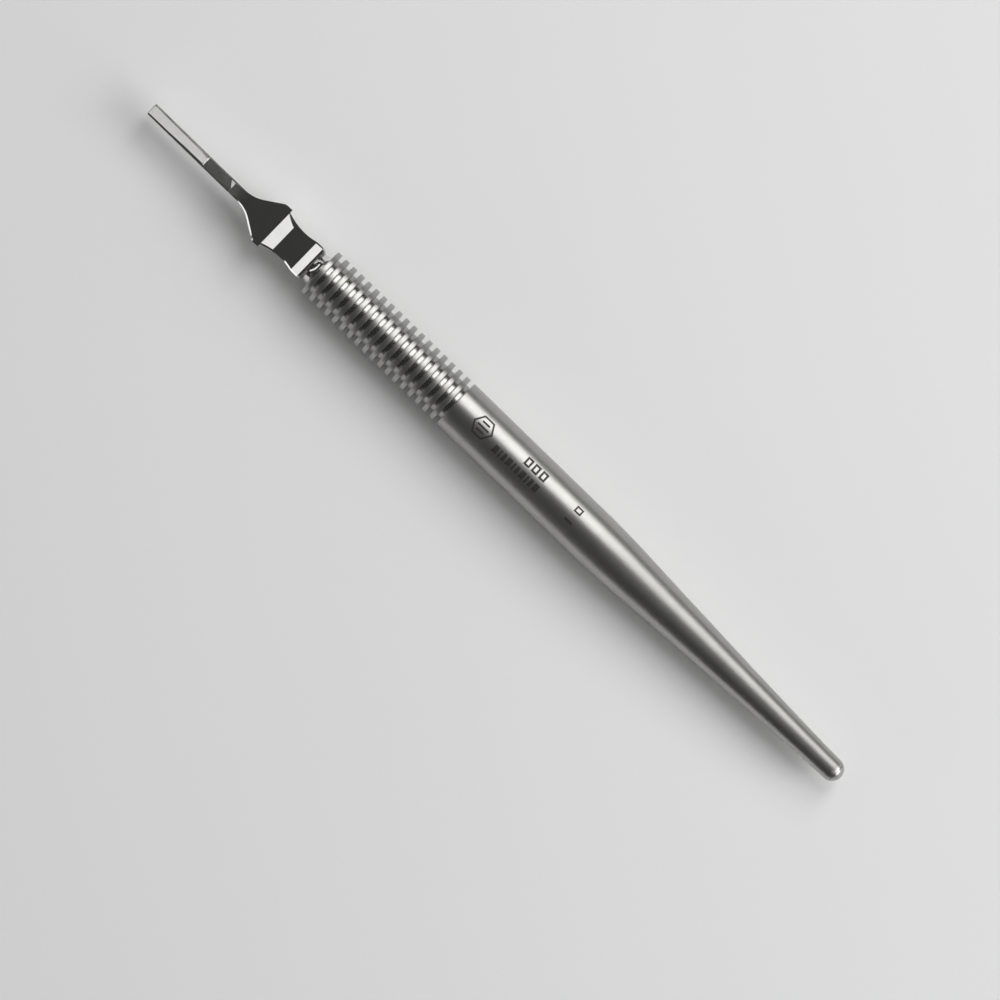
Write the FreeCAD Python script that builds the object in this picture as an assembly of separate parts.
import FreeCAD, Part
import math
import os

# Round-pattern scalpel handle for detachable blades, lying on a flat surface.
# Lengths are in millimetres. Every station is a distance along the handle from the blade tip.
# +X points to the blade tip, +Z is up, and the surface that the handle lies on is z = 0.

# Driving dimensions: whole handle
LENGTH = 150.0
GRIP_RADIUS = 4.3
AXIS_HEIGHT = GRIP_RADIUS
TIP_X = LENGTH / 2

# Blade tongue: a cap over a narrow rib, which a blade's slot slides under
TONGUE_HALF_WIDTH = 1.05
TONGUE_BOTTOM = -0.95
CAP_TOP_TIP = 0.8
CAP_TOP = 1.0
CAP_CHAMFER = 0.28
CAP_END = 11.95
CAP_STEP_RUN = 0.25
TONGUE_REAR_TOP = 0.75
BLADE_SLOT_BOTTOM = 0.1
BLADE_SLOT_HEIGHT = 0.45
BLADE_SLOT_DEPTH = 0.37
BLADE_SLOT_END = 12.9
TIP_CORNER_RADIUS = 0.25

# Blade stop: a wall across the neck, oblique up to a corner, with a short ramp above it
STOP_NEAR = 16.6
STOP_FAR = 17.65
STOP_CORNER_ACROSS = 0.35
RAMP_LOW_TOP = 1.0
NECK_TOP = 1.4
NECK_BOTTOM_START = 19.0
TONGUE_OVERLAP = 1.0

# Thumb plate: a concave flare, a straight flank and a rounded corner up to the rim
FLARE_START = 19.5
FLARE_RADIUS = 5.7
FLARE_ANGLE = math.radians(33)
RIM_START = 26.0
RIM_CORNER_RADIUS = 1.28
RIM_HALF_WIDTH = 3.93
RIM_END = 26.95
RIM_HALF_HEIGHT = 2.0

# Scooped neck and square flange
WAIST_FRONT_HALF_WIDTH = 3.42
WAIST_STATION = 30.7
WAIST_HALF_WIDTH = 2.72
SCOOP_FLOOR_START = 29.0
SCOOP_FLOOR_END = 33.1
SCOOP_HALF_HEIGHT = 1.35
FLANGE_START = 33.6
FLANGE_HALF_WIDTH = 3.06
FLANGE_CREASE = 34.55
FLANGE_CREASE_HEIGHT = 1.9
FLANGE_TOP_START = 34.9
FLANGE_HALF_HEIGHT = 2.9
FLANGE_END = 35.05
FLANGE_CORNER_RADIUS = 0.3

# Round shoulder and spigot behind the flange
SHOULDER_START = 34.95
SHOULDER_FRONT_RADIUS = 2.88
SHOULDER_END = 35.4
SHOULDER_REAR_RADIUS = 2.6
SPIGOT_RADIUS = 2.2
SPIGOT_END = 48.6
SPIGOT_CHAMFER = 0.4

# Front collar: a polished ring between shoulder and grip, with a cove that steepens towards the grip
COVE_TILT = math.radians(13)
COVE_MIDDLE_TILT = math.radians(25)
COVE_FRONT_RADIUS = 3.3
COVE_REAR_RADIUS = 0.97
GRIP_START = 36.6

# Grip: turned grooves, smooth barrel, long taper and rounded tail
GROOVE_COUNT = 18
GROOVE_FIRST = 37.8
GROOVE_PITCH = 1.644
GROOVE_WIDTH = 0.82
GROOVE_DEPTH = 1.0
GROOVE_FLOOR_RADIUS = 0.12
CREST_ROUND = 0.08
BARREL_END = 95.0
TAPER_STATION = 112.6
TAPER_RADIUS = 3.53
TAIL_STATION = 137.6
TAIL_RADIUS = 2.28
DOME_STATION = 148.1
DOME_RADIUS = 1.9

# Bores and tail plug
FRONT_BORE_RADIUS = SPIGOT_RADIUS
FRONT_BORE_END = 104.0
TAIL_BORE_RADIUS = 1.15
PLUG_SEAM = 148.95
PLUG_SPIGOT_START = 143.0
PLUG_CHAMFER = 0.2

# Tolerance for telling edges apart by their boxes
SMALL = 1e-6


def arc(start, middle, end):
    """Circular edge through three points, each (station, offset)."""
    return Part.Arc(flat(*start), flat(*middle), flat(*end)).toShape()


def line(start, end):
    """Straight edge between two points, each (station, offset)."""
    return Part.LineSegment(flat(*start), flat(*end)).toShape()


def flat(station, offset):
    """Point in the plane of stations along X and offsets along Y."""
    return FreeCAD.Vector(station, offset, 0)


def turn_arc(start, radius, angle_from, angle_to):
    """Edge from start that turns evenly between two headings, with its end point."""
    side = 1 if angle_to > angle_from else -1
    cx = start[0] - side * radius * math.sin(angle_from)
    cy = start[1] + side * radius * math.cos(angle_from)

    def at(angle):
        return (cx + side * radius * math.sin(angle), cy - side * radius * math.cos(angle))

    return arc(start, at((angle_from + angle_to) / 2), at(angle_to)), at(angle_to)


def place(shape):
    """Turns a shape built along stations so that the tip points to +X, and lifts it to the axis."""
    shape = shape.copy()
    shape.rotate(FreeCAD.Vector(0, 0, 0), FreeCAD.Vector(0, 0, 1), 180)
    shape.translate(FreeCAD.Vector(TIP_X, 0, AXIS_HEIGHT))
    return shape


def revolve(edges):
    """Solid turned about the handle's axis from a closed profile of (station, radius) edges."""
    return Part.Face(Part.Wire(edges)).revolve(
        FreeCAD.Vector(0, 0, 0), FreeCAD.Vector(1, 0, 0), 360
    )


def polygon(points):
    """Straight edges through (station, offset) points, closed."""
    return [line(a, b) for a, b in zip(points, points[1:] + points[:1])]


def side_prism(points, half_width):
    """Prism whose outline is (station, height) points, seen from the side."""
    wire = Part.makePolygon([FreeCAD.Vector(s, -half_width, h) for s, h in points + points[:1]])
    return Part.Face(wire).extrude(FreeCAD.Vector(0, 2 * half_width, 0))


def plan_edges():
    """Half outline of the thumb plate and neck from above, from inside the tongue to the flange's end."""
    start = (STOP_NEAR - TONGUE_OVERLAP, TONGUE_HALF_WIDTH)
    edges = [line(start, (FLARE_START, TONGUE_HALF_WIDTH))]
    flare, point = turn_arc((FLARE_START, TONGUE_HALF_WIDTH), FLARE_RADIUS, 0, FLARE_ANGLE)
    edges.append(flare)
    corner_start = (
        RIM_START - RIM_CORNER_RADIUS * math.sin(FLARE_ANGLE),
        RIM_HALF_WIDTH - RIM_CORNER_RADIUS * (1 - math.cos(FLARE_ANGLE)),
    )
    edges.append(line(point, corner_start))
    corner, point = turn_arc(corner_start, RIM_CORNER_RADIUS, FLARE_ANGLE, 0)
    edges.append(corner)
    edges.append(line(point, (RIM_END, RIM_HALF_WIDTH)))
    edges.append(line((RIM_END, RIM_HALF_WIDTH), (RIM_END, WAIST_FRONT_HALF_WIDTH)))
    run = WAIST_STATION - RIM_END
    drop = WAIST_FRONT_HALF_WIDTH - WAIST_HALF_WIDTH
    radius = (run**2 + drop**2) / (2 * drop)
    middle = WAIST_STATION - run / 2
    edges.append(
        arc(
            (RIM_END, WAIST_FRONT_HALF_WIDTH),
            (middle, WAIST_HALF_WIDTH + radius - math.sqrt(radius**2 - (run / 2) ** 2)),
            (WAIST_STATION, WAIST_HALF_WIDTH),
        )
    )
    rise = FLANGE_HALF_WIDTH - WAIST_HALF_WIDTH
    reach = FLANGE_START - WAIST_STATION
    turn = 2 * math.atan(rise / reach)
    total = reach / math.sin(turn)
    concave, point = turn_arc((WAIST_STATION, WAIST_HALF_WIDTH), 0.7 * total, 0, turn)
    edges.append(concave)
    convex, point = turn_arc(point, 0.3 * total, turn, 0)
    edges.append(convex)
    edges.append(line(point, (FLANGE_END - FLANGE_CORNER_RADIUS, point[1])))
    bevel = FLANGE_CORNER_RADIUS * (1 - math.sqrt(0.5))
    edges.append(
        arc(
            (FLANGE_END - FLANGE_CORNER_RADIUS, point[1]),
            (FLANGE_END - bevel, point[1] - bevel),
            (FLANGE_END, point[1] - FLANGE_CORNER_RADIUS),
        )
    )
    return edges


def plate_outline():
    """Full outline of the thumb plate and neck from above, as one face."""
    upper = plan_edges()
    lower = []
    for edge in upper:
        mirrored = edge.copy()
        mirrored = mirrored.mirror(FreeCAD.Vector(0, 0, 0), FreeCAD.Vector(0, 1, 0))
        lower.append(mirrored)
    first = upper[0].Vertexes[0].Point
    last = upper[-1].Vertexes[-1].Point
    ends = [line((first.x, -first.y), (first.x, first.y)), line((last.x, -last.y), (last.x, last.y))]
    wire = Part.Wire(Part.__sortEdges__(upper + lower + ends))
    return Part.Face(wire)


def plate_and_neck():
    """Thumb plate, scooped neck and square flange: the plan outline cut to the side outline."""
    depth = 2 * GRIP_RADIUS
    plan = plate_outline()
    plan.translate(FreeCAD.Vector(0, 0, -GRIP_RADIUS))
    plan = plan.extrude(FreeCAD.Vector(0, 0, depth))
    top = [
        (STOP_NEAR - TONGUE_OVERLAP, RAMP_LOW_TOP),
        (STOP_NEAR, RAMP_LOW_TOP),
        (STOP_FAR, NECK_TOP),
        (RIM_END, RIM_HALF_HEIGHT),
        (SCOOP_FLOOR_START, SCOOP_HALF_HEIGHT),
        (SCOOP_FLOOR_END, SCOOP_HALF_HEIGHT),
        (FLANGE_CREASE, FLANGE_CREASE_HEIGHT),
        (FLANGE_TOP_START, FLANGE_HALF_HEIGHT),
        (FLANGE_END, FLANGE_HALF_HEIGHT),
    ]
    bottom = [(s, -h) for s, h in top[3:]]
    bottom = [(STOP_NEAR - TONGUE_OVERLAP, TONGUE_BOTTOM), (NECK_BOTTOM_START, TONGUE_BOTTOM)] + bottom
    body = plan.common(side_prism(top + bottom[::-1], GRIP_RADIUS))
    return body.cut(stop_cutter())


def stop_cutter():
    """Block in front of the blade stop, which clears everything above the tongue's rear top."""
    reach = TONGUE_HALF_WIDTH
    lean = (STOP_FAR - STOP_NEAR) / (reach + STOP_CORNER_ACROSS)
    front = CAP_END
    corners = [
        (front, -2 * reach),
        (STOP_FAR, -2 * reach),
        (STOP_FAR, -STOP_CORNER_ACROSS),
        (STOP_NEAR - reach * lean, 2 * reach),
        (front, 2 * reach),
    ]
    face = Part.Face(Part.Wire(polygon(corners)))
    face.translate(FreeCAD.Vector(0, 0, TONGUE_REAR_TOP))
    return face.extrude(FreeCAD.Vector(0, 0, GRIP_RADIUS))


def tongue():
    """Blade tongue: a ribbed bar with a slot along each side under the cap."""
    side = [
        (0, TONGUE_BOTTOM + TIP_CORNER_RADIUS),
        (0, CAP_TOP_TIP),
        (CAP_END - CAP_STEP_RUN, CAP_TOP),
        (CAP_END, TONGUE_REAR_TOP),
        (STOP_FAR + TONGUE_OVERLAP, TONGUE_REAR_TOP),
        (STOP_FAR + TONGUE_OVERLAP, TONGUE_BOTTOM),
        (TIP_CORNER_RADIUS, TONGUE_BOTTOM),
    ]
    bar = side_prism(side, TONGUE_HALF_WIDTH)
    tip_edges = [e for e in bar.Edges if e.BoundBox.XMax < SMALL and e.BoundBox.ZLength > 1.0]
    bar = bar.makeFillet(TIP_CORNER_RADIUS, tip_edges)
    cap_edges = [
        e
        for e in bar.Edges
        if e.BoundBox.ZMin > CAP_TOP_TIP - SMALL and e.BoundBox.YLength < SMALL and e.BoundBox.XLength > 5
    ]
    bar = bar.makeChamfer(CAP_CHAMFER, cap_edges)
    reach = 1.0
    for side_sign in (-1, 1):
        slot = Part.makeBox(
            BLADE_SLOT_END + reach,
            BLADE_SLOT_DEPTH + reach,
            BLADE_SLOT_HEIGHT,
            FreeCAD.Vector(-reach, TONGUE_HALF_WIDTH - BLADE_SLOT_DEPTH, BLADE_SLOT_BOTTOM),
        )
        if side_sign < 0:
            slot = slot.mirror(FreeCAD.Vector(0, 0, 0), FreeCAD.Vector(0, 1, 0))
        bar = bar.cut(slot)
    return bar


def blade_holder():
    """The whole polished nose in one piece, with the spigot that is pressed into the handle."""
    shoulder = revolve(
        polygon(
            [
                (SHOULDER_START, 0),
                (SHOULDER_START, SHOULDER_FRONT_RADIUS),
                (FLANGE_END, SHOULDER_FRONT_RADIUS),
                (SHOULDER_END, SHOULDER_REAR_RADIUS),
                (SHOULDER_END, 0),
            ]
        )
    )
    spigot = revolve(
        polygon(
            [
                (SHOULDER_START, 0),
                (SHOULDER_START, SPIGOT_RADIUS),
                (SPIGOT_END - SPIGOT_CHAMFER, SPIGOT_RADIUS),
                (SPIGOT_END, SPIGOT_RADIUS - SPIGOT_CHAMFER),
                (SPIGOT_END, 0),
            ]
        )
    )
    nose = plate_and_neck().fuse([tongue(), shoulder, spigot])
    return place(nose.removeSplitter())


def front_collar():
    """Ring whose hollow cove rises from the shoulder to the first ring of the grip, in two arcs."""

    def along(start, radius, tilt_from, tilt_to):
        """Point where an arc that starts at one tilt has reached another."""
        return (
            start[0] + radius * (math.sin(tilt_to) - math.sin(tilt_from)),
            start[1] + radius * (math.cos(tilt_from) - math.cos(tilt_to)),
        )

    def cove(start, radius, tilt_from, tilt_to):
        halfway = along(start, radius, tilt_from, (tilt_from + tilt_to) / 2)
        return arc(start, halfway, along(start, radius, tilt_from, tilt_to))

    front = (SHOULDER_END, SHOULDER_REAR_RADIUS)
    middle = along(front, COVE_FRONT_RADIUS, COVE_TILT, COVE_MIDDLE_TILT)
    end_tilt = math.asin((GRIP_START - middle[0]) / COVE_REAR_RADIUS + math.sin(COVE_MIDDLE_TILT))
    rear = along(middle, COVE_REAR_RADIUS, COVE_MIDDLE_TILT, end_tilt)
    edges = [
        line((SHOULDER_END, SPIGOT_RADIUS), front),
        cove(front, COVE_FRONT_RADIUS, COVE_TILT, COVE_MIDDLE_TILT),
        cove(middle, COVE_REAR_RADIUS, COVE_MIDDLE_TILT, end_tilt),
        line(rear, (GRIP_START, SPIGOT_RADIUS)),
        line((GRIP_START, SPIGOT_RADIUS), (SHOULDER_END, SPIGOT_RADIUS)),
    ]
    return place(revolve(edges))


def rounded(points_and_radii):
    """Edges through (station, radius) points, each corner rounded by its own arc radius."""
    corners = []
    for (a, _), (b, r), (c, _) in zip(
        points_and_radii, points_and_radii[1:], points_and_radii[2:]
    ):
        to_a = unit(b, a)
        to_c = unit(b, c)
        half = math.acos(max(-1.0, min(1.0, to_a[0] * to_c[0] + to_a[1] * to_c[1]))) / 2
        if r == 0:
            corners.append((b, b, b))
            continue
        reach = r / math.tan(half)
        centre_reach = r / math.sin(half)
        bisector = unit((0, 0), (to_a[0] + to_c[0], to_a[1] + to_c[1]))
        centre = (b[0] + bisector[0] * centre_reach, b[1] + bisector[1] * centre_reach)
        corners.append(
            (
                (b[0] + to_a[0] * reach, b[1] + to_a[1] * reach),
                (centre[0] - bisector[0] * r, centre[1] - bisector[1] * r),
                (b[0] + to_c[0] * reach, b[1] + to_c[1] * reach),
            )
        )
    edges = []
    point = points_and_radii[0][0]
    for start, middle, end in corners:
        edges.append(line(point, start))
        if start != end:
            edges.append(arc(start, middle, end))
        point = end
    edges.append(line(point, points_and_radii[-1][0]))
    return edges


def unit(start, end):
    """Direction from one point to another, with length one."""
    dx = end[0] - start[0]
    dy = end[1] - start[1]
    length = math.hypot(dx, dy)
    return dx / length, dy / length


def grip_profile():
    """Outer half outline of the turned handle: grooves, barrel, taper and rounded tail."""
    outer = [((GRIP_START, FRONT_BORE_RADIUS), 0), ((GRIP_START, GRIP_RADIUS), CREST_ROUND)]
    for i in range(GROOVE_COUNT):
        middle = GROOVE_FIRST + i * GROOVE_PITCH
        near = middle - GROOVE_WIDTH / 2
        far = middle + GROOVE_WIDTH / 2
        floor = GRIP_RADIUS - GROOVE_DEPTH
        outer.append(((near, GRIP_RADIUS), CREST_ROUND))
        outer.append(((near, floor), GROOVE_FLOOR_RADIUS))
        outer.append(((far, floor), GROOVE_FLOOR_RADIUS))
        outer.append(((far, GRIP_RADIUS), CREST_ROUND))
    outer.append(((BARREL_END, GRIP_RADIUS), 0))
    edges = rounded(outer)
    taper = Part.BSplineCurve()
    taper.interpolate(
        Points=[
            flat(BARREL_END, GRIP_RADIUS),
            flat(TAPER_STATION, TAPER_RADIUS),
            flat(TAIL_STATION, TAIL_RADIUS),
            flat(DOME_STATION, DOME_RADIUS),
        ],
        InitialTangent=FreeCAD.Vector(1, 0, 0),
        FinalTangent=unit_vector(DOME_STATION - TAIL_STATION, (DOME_RADIUS - TAIL_RADIUS) / 2),
    )
    edges.append(taper.toShape())
    seam_radius = dome_radius_at(PLUG_SEAM)
    middle = (DOME_STATION + PLUG_SEAM) / 2
    edges.append(
        arc(
            (DOME_STATION, DOME_RADIUS),
            (middle, dome_radius_at(middle)),
            (PLUG_SEAM, seam_radius),
        )
    )
    inner = [
        (PLUG_SEAM, seam_radius),
        (PLUG_SEAM, TAIL_BORE_RADIUS),
        (FRONT_BORE_END, TAIL_BORE_RADIUS),
        (FRONT_BORE_END, FRONT_BORE_RADIUS),
        (GRIP_START, FRONT_BORE_RADIUS),
    ]
    edges += [line(a, b) for a, b in zip(inner, inner[1:])]
    return edges


def unit_vector(station, offset):
    """Direction in the plane of stations and offsets."""
    return FreeCAD.Vector(*unit((0, 0), (station, offset)), 0)


def dome_radius_at(station):
    """Radius of the rounded tail, an elliptic dome that ends at the handle's full length."""
    reach = LENGTH - DOME_STATION
    return DOME_RADIUS * math.sqrt(max(0.0, 1 - ((station - DOME_STATION) / reach) ** 2))


def handle_body():
    """Satin handle, turned outside and bored from both ends."""
    return place(revolve(grip_profile()))


def tail_plug():
    """Domed plug that continues the rounded tail and closes the bore."""
    seam_radius = dome_radius_at(PLUG_SEAM)
    middle = (PLUG_SEAM + LENGTH) / 2 + (LENGTH - PLUG_SEAM) / 4
    edges = [
        arc((PLUG_SEAM, seam_radius), (middle, dome_radius_at(middle)), (LENGTH, 0)),
        line((LENGTH, 0), (PLUG_SPIGOT_START, 0)),
        line((PLUG_SPIGOT_START, 0), (PLUG_SPIGOT_START, TAIL_BORE_RADIUS - PLUG_CHAMFER)),
        line(
            (PLUG_SPIGOT_START, TAIL_BORE_RADIUS - PLUG_CHAMFER),
            (PLUG_SPIGOT_START + PLUG_CHAMFER, TAIL_BORE_RADIUS),
        ),
        line((PLUG_SPIGOT_START + PLUG_CHAMFER, TAIL_BORE_RADIUS), (PLUG_SEAM, TAIL_BORE_RADIUS)),
        line((PLUG_SEAM, TAIL_BORE_RADIUS), (PLUG_SEAM, seam_radius)),
    ]
    return place(revolve(edges))


os.makedirs("parts", exist_ok=True)
for name, make in {
    "blade_holder": blade_holder,
    "front_collar": front_collar,
    "handle_body": handle_body,
    "tail_plug": tail_plug,
}.items():
    make().exportStep("parts/" + name + ".step")
